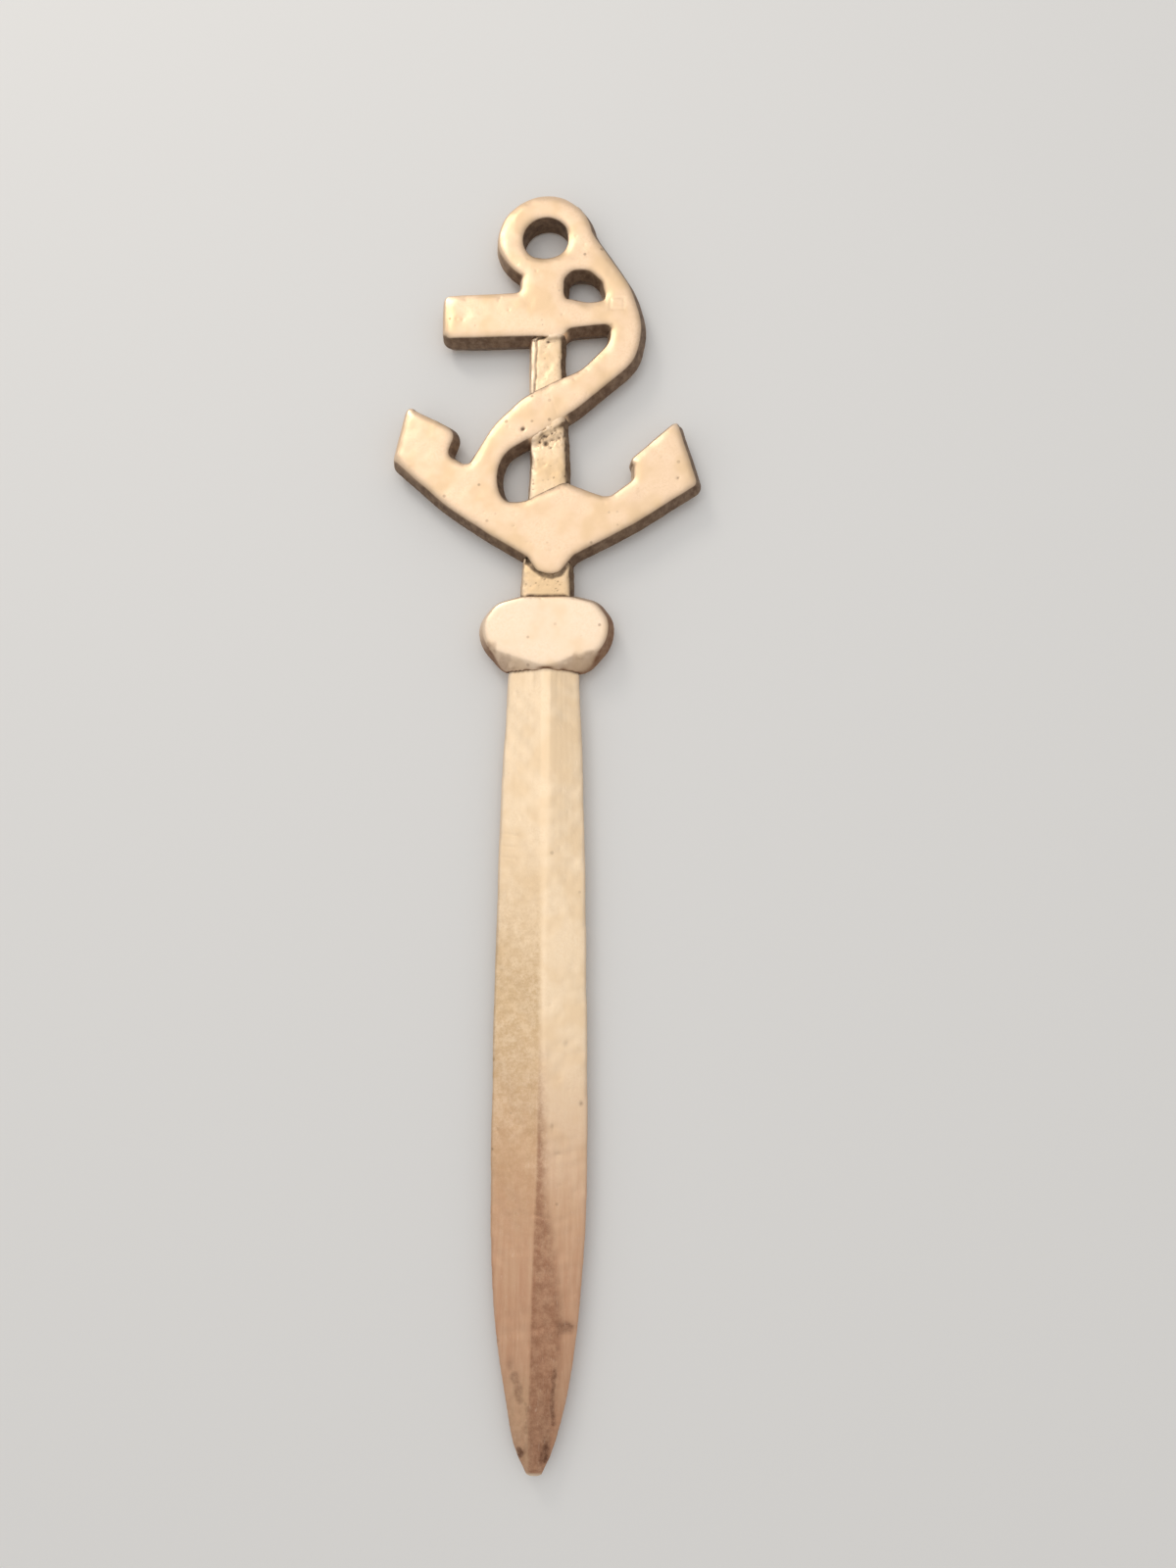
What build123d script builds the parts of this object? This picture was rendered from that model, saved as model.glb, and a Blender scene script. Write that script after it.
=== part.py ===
from build123d import *
from math import atan2, cos, degrees, radians, sin, tan
import os

# Letter opener of cast brass with an anchor for its handle, in millimetres.
# X runs across it, Y along it with the ring at +Y and the point at -Y, Z is up.
# The origin is on the flat back, under the middle of the collar.

# Plate: the ring, stock, rope, arms and collar share one thickness
plate_thickness = 4.8
plate_flank = 1.0         # how far a flank slopes out from the face to mid thickness
tip_round = 0.4           # smallest corner left on a face
least_round = 0.15        # smallest corner left at mid thickness

# Ring, on a neck that stands on the stock
ring_lean = 0.9           # how far its middle stands to the left
ring_rise = 10.8          # from the stock's top edge to its middle
ring_radius = 7.8         # at the face
bore_radius = 3.9
bore_bevel = 0.25
neck_left = -4.6
neck_right = 2.1
neck_height = 2.0         # from the stock's top edge to the seam under the ring

# Stock, the cross bar under the ring
stock_left = -17.7
stock_height = 7.4
stock_slip = 0.5          # how much higher the top edge stands at the neck
bar_rise = 2.1            # from the stock's lower edge to that of its thinner end
bar_height = 3.9          # of the thinner end, right of the shank
bar_end = 10.4

# Arms, whose middle is the crown, cast over the shank
crown_clear = 3.9         # from the collar's top edge to the crown's lower tip
crown_depth = 13.9        # from that tip to the crown's top

# Shank, a bar whose faces lie below the plate's faces
shank_length = 46.0       # between the collar and the stock
shank_recess = 0.7
shank_flank = 0.9
shank_foot_half = 3.7     # half its width at the collar
shank_head_half = 2.3     # half its width under the stock
shank_lean = 0.5          # how far its head stands to the left
shank_seat = 3.6          # how far its head goes up into the stock

# Collar
collar_half = 10.1        # half its width at the face
collar_top = 6.2
collar_bottom = -5.4
collar_round = 3.4
collar_pocket = 1.0       # depth of the seats for the shank above and the blade below
bevel_rise = 3.4          # how high the filed corners reach at its sides
bevel_angle = 38

# Blade
blade_length = 119.0
blade_half = 7.3          # half its width, at the widest
blade_thickness = 3.3     # at the collar
blade_cover = 0.8         # how far the collar's lower flank reaches over it
edge_land = 0.6           # thickness left along the blunt edges
blade_steps = 28          # flat stretches along its length

# Joints
braze_gap = 0.04          # clearance round every tenon
tenon_thickness = 2.0
tenon_width = 2.6
tenon_length = 1.8
neck_tenon_length = 3.2
neck_tenon_width = 3.6
stock_tongue_length = 2.3
stock_tongue_width = 2.2
tang_width = 5.0
tang_length = 14.0        # below the shank's shoulder, through the collar into the blade

mid_height = plate_thickness / 2
neck_mid = (neck_left + neck_right) / 2
crown_tip = collar_top + crown_clear
crown_top = crown_tip + crown_depth
stock_bottom = collar_top + shank_length
stock_top = stock_bottom + stock_height
bar_bottom = stock_bottom + bar_rise
bar_top = bar_bottom + bar_height
neck_seam = stock_top + neck_height
ring_centre = (-ring_lean, stock_top + ring_rise)
blade_root = collar_bottom - blade_cover


def up(share):
    # Height on the rope, from 0 at the crown's top to 1 at the stock
    return crown_top + share * (stock_bottom - crown_top)


def from_crown(*corners):
    # Corners whose heights are given from the crown's top
    return [(x, crown_top + rise, *radius) for x, rise, *radius in corners]


def near_ring(angle, distance):
    # Point at a distance outside the ring's edge
    reach = ring_radius + distance
    return (ring_centre[0] + reach * cos(radians(angle)),
            ring_centre[1] + reach * sin(radians(angle)))


# Seams between the plate's pieces, each from one open side to the other
ring_rope_seam = [near_ring(-56.5, 1.8), near_ring(-47.4, 0.75), near_ring(-4.0, 0.5),
                  near_ring(16.1, 2.3)]
stock_rope_seam = [(8.0, stock_top + 0.8), (9.9, bar_top + 0.5), (bar_end, bar_bottom),
                   (8.4, stock_bottom + 0.2)]
rope_arm_seam = from_crown((-13.0, 7.6), (-12.75, 5.2), (-8.2, 2.1), (-6.2, 0.7))
# Line in the open space between the rope and the right arm
rope_arm_space = from_crown((-5, 4), (8, 4), (19, 16), (30, 16))
stock_underside = stock_bottom - 2.6


def face_of(corners):
    # Corners are (x, y) or (x, y, radius), where a radius may be limited by its two sides
    points = [Vector(*corner[:2]) for corner in corners]
    radii = [corner[2] if len(corner) > 2 else 0 for corner in corners]
    sides = [point - points[i - 1] for i, point in enumerate(points)]
    count = len(points)
    turns = [sides[i].get_angle(sides[(i + 1) % count]) for i in range(count)]
    reaches = [radius * tan(radians(turn) / 2) for radius, turn in zip(radii, turns)]
    shares = [0.99 * sides[i].length / max(reaches[i - 1] + reaches[i], tip_round)
              for i in range(count)]
    fitted = [radii[i] * min(1, shares[i], shares[(i + 1) % count]) for i in range(count)]
    return make_face(FilletPolyline(*points, radius=fitted, close=True))


def grown(corners, distance):
    # The outline with every side moved out and its rounds to match, or in if negative
    points = [Vector(*corner[:2]) for corner in corners]
    sides = [(point - points[i - 1]).normalized() for i, point in enumerate(points)]
    area = sum(points[i - 1].X * point.Y - point.X * points[i - 1].Y
               for i, point in enumerate(points))
    turning = 1 if area > 0 else -1
    moved = []
    for i, corner in enumerate(corners):
        before, after = sides[i], sides[(i + 1) % len(sides)]
        outward = (before + after) * turning * distance / (1 + before.dot(after))
        bend = (before.X * after.Y - before.Y * after.X) * turning
        place = (points[i].X + outward.Y, points[i].Y - outward.X)
        if len(corner) > 2:
            radius = corner[2] + (distance if bend > 0 else -distance)
            place += (max(radius, least_round),)
        moved.append(place)
    return moved


def cast(face, middle):
    # Closed shape whose flanks run from both faces to its outline at mid thickness
    lower = loft([face, Pos(0, 0, mid_height) * middle], ruled=True)
    upper = Pos(0, 0, plate_thickness) * mirror(lower, about=Plane.XY)
    return lower + upper


def cast_outline(corners, flank):
    return cast(face_of(corners), face_of(grown(corners, flank)))


def slab(corners):
    return extrude(face_of(corners), plate_thickness)


def tenon(seat, towards, length, width, thickness, gap=0.0):
    # Block that starts on its seat and points towards another place, with the
    # clearance added all round when it cuts a mortise
    (x0, y0), (x1, y1) = seat, towards
    block = Box(length + gap, width + 2 * gap, thickness + 2 * gap,
                align=(Align.MIN, Align.CENTER, Align.CENTER))
    return Pos(x0, y0, mid_height) * Rot(0, 0, degrees(atan2(y1 - y0, x1 - x0))) * block


def middle_of(start, end):
    return ((start[0] + end[0]) / 2, (start[1] + end[1]) / 2)


def across(start, end, distance):
    # Point at a distance to the right of the middle of a line
    mx, my = middle_of(start, end)
    dx, dy = end[0] - start[0], end[1] - start[1]
    length = (dx * dx + dy * dy) ** 0.5
    return (mx + dy / length * distance, my - dx / length * distance)


def plate():
    neck_side = [
        (neck_left, ring_centre[1]),
        (neck_left, stock_top + stock_slip, 1.4),
    ]
    stock_side = [
        (stock_left, stock_top, tip_round),
        (stock_left, stock_bottom, 1.0),
        (1.9, stock_bottom + 0.1, 0.8),
        (3.3, bar_bottom - 0.6, 1.5),
        (bar_end + 0.2, bar_bottom + 0.1, 1.4),
    ]
    rope_inside = [
        (10.5, bar_bottom - 3.6, 4),
        (5.6, up(0.767), 8),
        (-3.8, up(0.604), 12),
        (-8.6, up(0.44), 12),
    ]
    left_arm = from_crown(
        (-13.2, 4.5, 1.15),
        (-17.0, 6.9, 1.4),
        (-15.7, 11.0, 1.6),
        (-23.5, 15.4, tip_round),
        (-25.4, 6.0, 1.4),
        (-16.8, -1.8, 25),
        (-9.5, -6.9, 20),
    )
    tip = [
        (-3.2, crown_tip + 3.2, 2),
        (-1.5, crown_tip + 0.7, 1.2),
        (0.6, crown_tip, 2),
        (2.1, crown_tip + 0.5, 1),
        (4.3, crown_tip + 3.2, 3),
    ]
    right_arm = from_crown(
        (14.5, -5.2, 30),
        (24.5, 1.3, 0.9),
        (21.3, 12.0, tip_round),
        (14.1, 5.7, 0.7),
        (14.6, 4.6, 1.4),
        (14.6, 2.1, 1.5),
        (10.1, -1.4, 2.2),
        (2.9, 1.6, 1.2),
        (-3.4, -1.6, 1.6),
        (-7.2, -2.5, 3),
    )
    rope_outside = [
        (-9.0, up(0.114), 8),
        (-7.3, up(0.266), 5.5),
        (-2.6, up(0.364), 8),
        (4.6, up(0.532), 14),
        (14.3, up(0.83), 8),
        (15.6, stock_bottom + 1.2, 12),
        (13.6, stock_top + 1.3, 20),
        (*near_ring(-2.7, 0.7), 9),
        near_ring(45.0, 0.0),
        ring_centre,
    ]
    upper_gap = [
        (neck_right, neck_seam + 1.2, 1.8),
        (neck_right, bar_top + 0.8, 1.5),
        (6.8, bar_top - 0.4, 6),
        (10.0, bar_top + 0.3, 1.3),
        (*near_ring(-40.0, 5.1), 3),
        (*near_ring(-38.3, 1.9), 2.4),
        (*near_ring(-52.7, -0.4), 2.2),
    ]
    body = (neck_side + stock_side + rope_inside + left_arm + tip + right_arm
            + rope_outside)
    ring_disc = Pos(*ring_centre) * cast(Circle(ring_radius), Circle(ring_radius + plate_flank))
    return (cast_outline(body, plate_flank) + ring_disc
            - cast_outline(upper_gap, -plate_flank) - ring_bore())


def ring_bore():
    wall = Cylinder(bore_radius, plate_thickness)
    mouth = Cone(bore_radius, bore_radius + bore_bevel, bore_bevel)
    top_mouth = Pos(0, 0, mid_height - bore_bevel / 2) * mouth
    both_mouths = top_mouth + mirror(top_mouth, about=Plane.XY)
    return Pos(*ring_centre, mid_height) * (wall + both_mouths)


def ring(whole_plate):
    far = ring_centre[1] + 2 * ring_radius
    zone = ([(-14, neck_seam), (3.0, neck_seam)] + ring_rope_seam
            + [(ring_rope_seam[-1][0], far), (-14, far)])
    neck_tenon = tenon((neck_mid, neck_seam), (neck_mid, 0), neck_tenon_length,
                       neck_tenon_width, tenon_thickness)
    return (whole_plate & slab(zone)) + neck_tenon - rope_tenon(ring_rope_seam, braze_gap)


def rope_tenon(seam, gap=0.0):
    # Tenon on either end of the rope, square to the seam's middle stretch
    seat = middle_of(seam[1], seam[2])
    side = -1 if seam is ring_rope_seam else 1
    return tenon(seat, across(seam[1], seam[2], side), tenon_length, tenon_width,
                 tenon_thickness, gap)


def stock(whole_plate):
    zone = ([(-24, neck_seam), (3.0, neck_seam)] + stock_rope_seam
            + [(6.0, stock_underside), (-24, stock_underside)])
    neck_mortise = tenon((neck_mid, neck_seam), (neck_mid, 0), neck_tenon_length,
                         neck_tenon_width, tenon_thickness, braze_gap)
    return (whole_plate & slab(zone)) + stock_tongue() - neck_mortise - shank(braze_gap)


def stock_tongue(gap=0.0):
    # The stock's end shows on both faces of the rope
    seat = (bar_end - 1.5, (bar_bottom + bar_top) / 2 + 0.8)
    return tenon(seat, (seat[0] + 1, seat[1]), stock_tongue_length + 1.5, stock_tongue_width,
                 plate_thickness, gap)


def rope(whole_plate):
    zone = (rope_arm_seam[::-1] + [(-14.2, stock_underside), (6.0, stock_underside)]
            + stock_rope_seam[::-1] + ring_rope_seam + [(30, ring_rope_seam[-1][1])]
            + rope_arm_space[::-1])
    tenons = rope_tenon(ring_rope_seam) + rope_tenon(rope_arm_seam)
    return (whole_plate & slab(zone)) + tenons - stock_tongue(braze_gap) - shank(braze_gap)


def arms(whole_plate):
    zone = (rope_arm_seam + rope_arm_space
            + [(30, 0), (-32, 0), (-32, stock_underside), (-14.2, stock_underside)])
    return (whole_plate & slab(zone)) - rope_tenon(rope_arm_seam, braze_gap) - shank(braze_gap)


def shank(gap=0.0):
    # Rows are y, left side and right side of its faces
    foot = collar_top - collar_pocket
    head = stock_bottom + shank_seat + gap
    rows = [
        (foot, -shank_foot_half, shank_foot_half),
        (collar_top + 3.2, 0.2 - shank_foot_half, shank_foot_half - 0.1),
        (crown_top + 4.0, -2.4, 2.8),
        (stock_bottom - 5.2, -shank_head_half - shank_lean, shank_head_half - shank_lean),
        (head, -shank_head_half - shank_lean, shank_head_half - shank_lean),
    ]
    face = shank_level(rows, gap, shank_recess - gap)
    middle = shank_level(rows, shank_flank + gap, mid_height)
    lower = loft([face, middle], ruled=True)
    upper = Pos(0, 0, plate_thickness) * mirror(lower, about=Plane.XY)
    return lower + upper + tang(gap)


def shank_level(rows, outset, height):
    left_side = [(left - outset, y, height) for y, left, _ in rows]
    right_side = [(right + outset, y, height) for y, _, right in reversed(rows)]
    return make_face(Polyline(left_side + right_side, close=True))


def tang(gap=0.0):
    foot = collar_top - collar_pocket
    return tenon((0, foot), (0, -100), tang_length, tang_width, tenon_thickness, gap)


def collar():
    right_side = [
        (6.3, collar_bottom, 3),
        (collar_half, collar_bottom + 4.3, 5.5),
        (collar_half, collar_top - 4.0, collar_round),
        (collar_half - 2.1, collar_top - 1.1, collar_round),
        (3.8, collar_top, collar_round),
    ]
    left_side = [(-x, y, radius) for x, y, radius in reversed(right_side)]
    body = cast_outline(right_side + left_side, plate_flank)
    for side in (-1, 1):
        corner = filed_corner(side)
        body -= corner
        body -= Pos(0, 0, plate_thickness) * mirror(corner, about=Plane.XY)
    return body - shank(braze_gap) - blade(braze_gap) - tang(braze_gap)


def filed_corner(side):
    # Wedge above a plane that falls away from a line on the face
    outer = Vector(side * collar_half, collar_bottom + bevel_rise, plate_thickness)
    inner = Vector(0, collar_bottom, plate_thickness)
    along = (outer - inner) * side
    outward = Vector(along.Y, -along.X, 0).normalized()
    tilt = radians(bevel_angle)
    normal = outward * sin(tilt) + Vector(0, 0, cos(tilt))
    seat = Plane(origin=(outer + inner) / 2, x_dir=along, z_dir=normal)
    return seat * Box(2 * collar_half, collar_half, plate_thickness,
                      align=(Align.CENTER, Align.CENTER, Align.MIN))


def blade(gap=0.0):
    # Sections: share of its length, then as shares of half its width the left and right
    # edge and the left and right of the ridge, then share of its thickness
    top = blade_root + collar_pocket
    tip = blade_root - blade_length
    shares = [
        (-collar_pocket / blade_length, -0.836, 0.726, -0.068, 0.096, 1.0),
        (0.166, -0.945, 0.863, -0.055, 0.11, 0.94),
        (0.418, -1.0, 0.959, 0.014, 0.068, 0.88),
        (0.595, -1.0, 1.0, 0.11, 0.164, 0.82),
        (0.704, -0.979, 0.986, 0.014, 0.178, 0.76),
        (0.771, -0.925, 0.918, -0.055, 0.301, 0.7),
        (0.839, -0.822, 0.822, -0.082, 0.411, 0.64),
        (0.906, -0.637, 0.651, -0.11, 0.384, 0.58),
        (0.965, -0.425, 0.404, -0.11, 0.192, 0.48),
        (1.0, -0.164, 0.151, -0.068, 0.068, 0.36),
    ]
    sections = [(blade_root - share * blade_length, *(blade_half * side for side in sides),
                 blade_thickness * depth) for share, *sides, depth in shares]
    # Stations that close up towards the tip
    stations = [tip + (top - tip) * (1 - i / blade_steps) ** 1.5 for i in range(blade_steps + 1)]
    slices = [blade_section(y, *between(sections, y), gap) for y in stations]
    body = loft(slices, ruled=True)
    return body if gap else body - tang(braze_gap)


def between(sections, y):
    # Values at y on smooth curves through the sections
    last = len(sections) - 1
    i = next((k for k in range(last) if y >= sections[k + 1][0]), last - 1)
    start, end = sections[i], sections[i + 1]
    step = end[0] - start[0]
    u = (y - start[0]) / step
    before, after = sections[max(i - 1, 0)], sections[min(i + 2, last)]
    values = []
    for column in range(1, len(start)):
        p0, p1 = start[column], end[column]
        slope0 = (p1 - before[column]) / (end[0] - before[0]) * step
        slope1 = (after[column] - p0) / (after[0] - start[0]) * step
        values.append((2 * u**3 - 3 * u**2 + 1) * p0 + (u**3 - 2 * u**2 + u) * slope0
                      + (3 * u**2 - 2 * u**3) * p1 + (u**3 - u**2) * slope1)
    return values


def blade_section(y, left, right, ridge_left, ridge_right, thickness, gap=0.0):
    half, land = thickness / 2 + gap, edge_land / 2 + gap
    points = [(left - gap, -land), (ridge_left, -half), (ridge_right, -half),
              (right + gap, -land), (right + gap, land), (ridge_right, half),
              (ridge_left, half), (left - gap, land)]
    return make_face(Polyline([(x, y, mid_height + z) for x, z in points], close=True))


os.makedirs("parts", exist_ok=True)
whole_plate = plate()
pieces = {
    "ring": ring(whole_plate),
    "stock": stock(whole_plate),
    "rope": rope(whole_plate),
    "arms": arms(whole_plate),
    "shank": shank(),
    "collar": collar(),
    "blade": blade(),
}
for name, piece in pieces.items():
    export_step(piece, f"parts/{name}.step")
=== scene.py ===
import math

import bmesh
import bpy
import numpy as np
from mathutils import Matrix, Vector
from mathutils.bvhtree import BVHTree


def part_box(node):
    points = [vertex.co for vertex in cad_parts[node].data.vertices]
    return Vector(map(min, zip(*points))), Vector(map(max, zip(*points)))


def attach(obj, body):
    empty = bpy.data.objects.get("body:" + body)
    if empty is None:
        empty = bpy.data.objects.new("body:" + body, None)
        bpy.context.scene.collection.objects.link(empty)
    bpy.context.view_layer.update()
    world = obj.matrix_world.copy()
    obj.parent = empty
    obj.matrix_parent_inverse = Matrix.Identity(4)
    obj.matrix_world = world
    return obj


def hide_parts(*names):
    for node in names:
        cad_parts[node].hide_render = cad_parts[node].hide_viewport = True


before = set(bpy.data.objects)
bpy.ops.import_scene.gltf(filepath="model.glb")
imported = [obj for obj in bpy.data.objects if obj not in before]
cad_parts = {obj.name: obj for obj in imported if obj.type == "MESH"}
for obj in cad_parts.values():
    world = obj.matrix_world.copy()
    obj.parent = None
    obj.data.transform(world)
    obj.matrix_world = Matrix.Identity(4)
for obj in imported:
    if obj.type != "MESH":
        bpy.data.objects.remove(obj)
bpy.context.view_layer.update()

# Letter opener of cast brass, lying on its flat back. Sizes are in millimetres unless noted,
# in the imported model's frame: X across, Y towards the ring, Z up, back at Z 0.
mm = 0.001
scene = bpy.context.scene
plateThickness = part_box("arms")[1].z / mm
midHeight = plateThickness / 2


# Mesh helpers

def pointsOf(mesh):
    flat = np.empty(len(mesh.vertices) * 3, np.float32)
    mesh.vertices.foreach_get("co", flat)
    return flat.reshape(-1, 3).astype(float)


def setPoints(mesh, points):
    mesh.vertices.foreach_set("co", points.astype(np.float32).ravel())
    mesh.update()


def normalsOf(mesh):
    flat = np.empty(len(mesh.vertices) * 3, np.float32)
    mesh.vertex_normals.foreach_get("vector", flat)
    return flat.reshape(-1, 3).astype(float)


def edgesOf(mesh):
    flat = np.empty(len(mesh.edges) * 2, np.int32)
    mesh.edges.foreach_get("vertices", flat)
    return flat.reshape(-1, 2)


def nodeCopy(*names):
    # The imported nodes' meshes, joined and welded, in millimetres
    weld = 0.001
    joined = bmesh.new()
    for name in names:
        joined.from_mesh(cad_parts[name].data)
    bmesh.ops.scale(joined, vec=(1 / mm,) * 3, verts=joined.verts)
    bmesh.ops.remove_doubles(joined, verts=joined.verts, dist=weld)
    return joined


def skinOf(source, voxel):
    # Even quads all over a closed shape
    mesh = bpy.data.meshes.new("skin")
    source.to_mesh(mesh)
    holder = bpy.data.objects.new("skin", mesh)
    scene.collection.objects.link(holder)
    remesh = holder.modifiers.new("remesh", "REMESH")
    remesh.mode = "VOXEL"
    remesh.voxel_size = voxel
    graph = bpy.context.evaluated_depsgraph_get()
    skin = bpy.data.meshes.new_from_object(holder.evaluated_get(graph))
    bpy.data.objects.remove(holder)
    bpy.data.meshes.remove(mesh)
    return skin


def relaxed(points, edges, rounds, share=(1, 1, 1)):
    # Each point moves half way to the middle of its neighbours, or less along some axes
    counts = np.bincount(edges.ravel(), minlength=len(points))[:, None]
    ends = np.concatenate([edges[:, 0], edges[:, 1]])
    others = np.concatenate([edges[:, 1], edges[:, 0]])
    for _ in range(rounds):
        total = np.stack([np.bincount(ends, points[others, axis], len(points))
                          for axis in range(3)], axis=1)
        points = points + (total / counts - points) * np.array(share) * 0.5
    return points


def soften(mesh, rounds, edgeRounds):
    # First the whole surface, then the face edges alone, by height, so corners stay crisp
    edges = edgesOf(mesh)
    points = relaxed(pointsOf(mesh), edges, rounds)
    setPoints(mesh, relaxed(points, edges, edgeRounds, (0, 0, 1)))


coreSkin = {"voxel": 0.3, "rounds": 2}


def coreOf(name, low, high, inset):
    # The stretch of a bar between two places along it, drawn in all round, to fill its seat
    core = nodeCopy(name)
    for place, outward in ((low, -1), (high, 1)):
        everything = list(core.verts) + list(core.edges) + list(core.faces)
        bmesh.ops.bisect_plane(core, geom=everything, plane_co=(0, place, 0),
                               plane_no=(0, outward, 0), clear_outer=True)
        rim = [edge for edge in core.edges if edge.is_boundary]
        bmesh.ops.holes_fill(core, edges=rim, sides=0)
    skin = skinOf(core, coreSkin["voxel"])
    core.free()
    setPoints(skin, relaxed(pointsOf(skin), edgesOf(skin), coreSkin["rounds"]))
    setPoints(skin, pointsOf(skin) - normalsOf(skin) * inset)
    return skin


def waves(points, length, seed):
    # Smooth unevenness of about one unit, with hollows and swells of about one length
    count = 14
    dice = np.random.default_rng(seed)
    total = np.zeros(len(points))
    for _ in range(count):
        way = dice.normal(size=3)
        way /= np.linalg.norm(way)
        pitch = length * dice.uniform(0.7, 1.4)
        total += np.sin(points @ way * (2 * math.pi / pitch) + dice.uniform(0, 2 * math.pi))
    return total * math.sqrt(2 / count)


def unevenness(points, layers, cover):
    # Each layer has a length, a height and a seed. The cover caps them and sinks them by as
    # much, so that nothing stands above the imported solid
    height = sum(waves(points, length, seed) * rise for length, rise, seed in layers)
    return np.minimum(height, cover) - cover


def step(values, low, high):
    # From 0 at the low value to 1 at the high one, smooth at both ends
    share = np.clip((values - low) / (high - low), 0, 1)
    return share * share * (3 - 2 * share)


def onFront(normals):
    # 1 on the front and 0 on the flanks and the back
    return step(normals[:, 2], 0.2, 0.6)


# The way that flanks turned from the light look, in plan: to the right and towards the point. These
# get painted shade, and the flanks opposite them a painted highlight
shadedWay = (0.67, -0.74)


def turnedFromLight(normals):
    # From 1 on flanks turned from the light to -1 on those turned towards it
    return shadedWay[0] * normals[:, 0] + shadedWay[1] * normals[:, 1]


def squareUp(mesh, amount):
    # Front halves of the flanks that face the ring or the left hand stand almost upright
    points, normals = pointsOf(mesh), normalsOf(mesh)
    fullFrom = midHeight + 1.6
    share = step(points[:, 2], midHeight, fullFrom) * step(-turnedFromLight(normals), 0.1, 0.6)
    points[:, :2] += normals[:, :2] * (amount * share)[:, None]
    setPoints(mesh, points)


def pits(points, places):
    # Small round hollows: x, y, radius, depth
    depth = np.zeros(len(points))
    for x, y, radius, deep in places:
        away = np.hypot(points[:, 0] - x, points[:, 1] - y)
        depth += deep * np.exp(-(away / radius) ** 2)
    return depth


def awayFromLine(points, line):
    # Distance in plan to a line of points
    best = np.full(len(points), 1e9)
    for (x0, y0), (x1, y1) in zip(line, line[1:]):
        along = np.array([x1 - x0, y1 - y0])
        offset = points[:, :2] - (x0, y0)
        share = np.clip(offset @ along / (along @ along), 0, 1)
        best = np.minimum(best, np.hypot(*(offset - share[:, None] * along).T))
    return best


def nearLines(points, lines):
    # Each line has a strength, a width and its places, and is full within a core of its width
    core = 0.25
    amount = np.zeros(len(points))
    for strength, width, line in lines:
        fall = 1 - step(awayFromLine(points, line), core * width, width)
        amount = np.maximum(amount, strength * fall)
    return amount


def wandering(points, wander):
    # The same points, moved to and fro, so that what is measured from them has ragged edges
    return points + wander["reach"] * waves(points, wander["length"], wander["seed"])[:, None]


def scatter(box, count, radii, depths, seed):
    # Places for small round hollows, at random in a rectangle
    dice = np.random.default_rng(seed)
    (x0, y0), (x1, y1) = box
    return [(dice.uniform(x0, x1), dice.uniform(y0, y1), dice.uniform(*radii),
             dice.uniform(*depths)) for _ in range(count)]


def treeOf(mesh):
    polygons = [tuple(face.vertices) for face in mesh.polygons]
    return BVHTree.FromPolygons([vertex.co.copy() for vertex in mesh.vertices], polygons)


def distancesTo(tree, points, reach):
    found = (tree.find_nearest(Vector(point), reach)[3] for point in points)
    return np.array([reach if distance is None else distance for distance in found])


def spread(mesh, values, rounds):
    # The values bleed into their surroundings
    return relaxed(np.stack([values] * 3, axis=1), edgesOf(mesh), rounds)[:, 0]


# Where grime and painted shade in hollows, wear and painted highlights, and painted shade on the
# flanks show, on every piece. Pairs are where a mask starts and is full
ageing = {
    "bendRounds": 36, "hollowBend": (0.02, 0.16), "edgeBend": (0.03, 0.16),
    "leastLevel": 0.35, "flankLevel": (0.35, 0.85), "shadedShare": 0.3, "litShare": 0.45,
    "edgeShadeLevel": (0.3, 0.8), "edgeShadeStrength": 0.8,
    "flankHighlightSlope": (0.06, 0.3), "flankHighlightStrength": 0.9, "shadedEdgeLoss": 0.8,
}


def surfaceMasks(mesh, age):
    # Grime and painted shade gather in hollows, and wear shows on edges, both from the surface's own
    # bend
    points, normals = pointsOf(mesh), normalsOf(mesh)
    rounds = age["bendRounds"]
    bend = ((relaxed(points, edgesOf(mesh), rounds) - points) * normals).sum(axis=1)
    # Flanks turned towards the light, towards the ring and the left hand, get a painted highlight, and
    # the others get painted shade, most of all those turned from the light
    dull, litFlank = np.clip(turnedFromLight(normals), 0, 1), np.clip(-turnedFromLight(normals), 0, 1)
    flat = np.abs(normals[:, 2])
    level = (np.maximum(flat, age["leastLevel"]) - age["shadedShare"] * dull
             + age["litShare"] * litFlank)
    side = 1 - step(level, *age["flankLevel"])
    # Painted shade on rounded edges beside shaded flanks, but not on those turned towards the light
    edgeShade = spread(mesh, side, rounds) * step(flat, *age["edgeShadeLevel"]) * (1 - litFlank)
    # Painted highlight on the slopes of flanks turned towards the light
    flankHighlight = litFlank * step(1 - flat, *age["flankHighlightSlope"])
    # Edge wear, dimmed on edges turned from the light, so partly a painted highlight
    edges = step(-bend, *age["edgeBend"]) * (1 - age["shadedEdgeLoss"] * dull)
    return {"grimeAndShade": step(bend, *age["hollowBend"]),
            "wearAndHighlight": np.maximum(edges, age["flankHighlightStrength"] * flankHighlight),
            "side": np.maximum(side, age["edgeShadeStrength"] * edgeShade)}


def addGrimeAndShade(masks, amount):
    masks["grimeAndShade"] = np.maximum(masks["grimeAndShade"], amount)


def cornerGrimeAndShade(points, tree, reach):
    # Dirt and painted shade in the corner where one piece meets another
    return 1 - step(distancesTo(tree, points, reach * 2), 0.0, reach)


def writeMasks(mesh, masks):
    for name, values in masks.items():
        attribute = mesh.attributes.new(name, "FLOAT", "POINT")
        attribute.data.foreach_set("value", values.astype(np.float32))


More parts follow.
